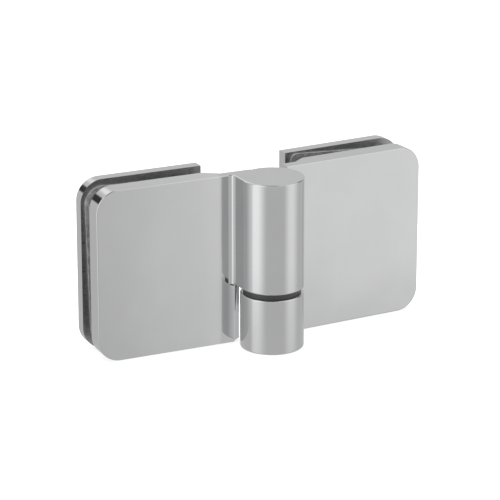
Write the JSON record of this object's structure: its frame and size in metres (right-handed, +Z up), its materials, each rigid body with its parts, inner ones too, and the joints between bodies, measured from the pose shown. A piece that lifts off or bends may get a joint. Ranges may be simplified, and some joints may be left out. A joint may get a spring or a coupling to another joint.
{
  "type": "glass door hinge",
  "caption": "Glass-to-glass door hinge: rounded clamp leaves with gasket-lined slots on a vertical barrel, whose helical cams lift the door leaf as it swings.",
  "frame": {"origin": "on the pivot axis, at the bottom face of the lower knuckle", "axes": "+Z up the pivot axis, +X towards the fixed leaf, +Y from the barrel towards the glass"},
  "size_m": [0.1271, 0.0424, 0.062],
  "materials": {
    "polished_chrome": "mirror-polished chrome plate on cast metal",
    "gasket": "dark grey fibre-filled rubber sheet",
    "screw_steel": "stainless steel",
    "sleeve_plastic": "natural nylon",
    "black_acetal": "black acetal",
    "white_acetal": "natural acetal",
    "bronze": "sintered bronze",
    "inner_steel": "ground stainless steel"
  },
  "bodies": {
    "fixed_leaf": {"fixed_front_plate": "polished_chrome", "fixed_back_plate": "polished_chrome", "fixed_front_gasket": "gasket", "fixed_back_gasket": "gasket", "fixed_clamp_screw_lower": "screw_steel", "fixed_clamp_screw_upper": "screw_steel", "fixed_screw_sleeve_lower": "sleeve_plastic", "fixed_screw_sleeve_upper": "sleeve_plastic", "lower_cam": "black_acetal", "lower_bush": "bronze", "thrust_washer": "inner_steel", "bottom_plug": "polished_chrome", "lower_grub_screw": "inner_steel"},
    "pin": {"hinge_pin": "inner_steel"},
    "door_leaf": {"door_front_plate": "polished_chrome", "door_back_plate": "polished_chrome", "door_front_gasket": "gasket", "door_back_gasket": "gasket", "door_clamp_screw_lower": "screw_steel", "door_clamp_screw_upper": "screw_steel", "door_screw_sleeve_lower": "sleeve_plastic", "door_screw_sleeve_upper": "sleeve_plastic", "upper_cam": "white_acetal", "upper_bush": "white_acetal", "upper_grub_screw": "inner_steel"}
  },
  "joints": [
    {"name": "door_swing", "type": "hinge", "parent": "fixed_leaf", "child": "pin", "pos_m": [0, 0, 0.03], "axis": [0, 0, 1], "range_deg": [0, 103.9]},
    {"name": "door_lift", "type": "slide", "parent": "pin", "child": "door_leaf", "axis": [0, 0, 1], "range_m": [0, 0.00577]}
  ],
  "couplings": [
    {"joint": "door_lift", "follows": "door_swing", "m_per_rad": 0.0031831}
  ]
}
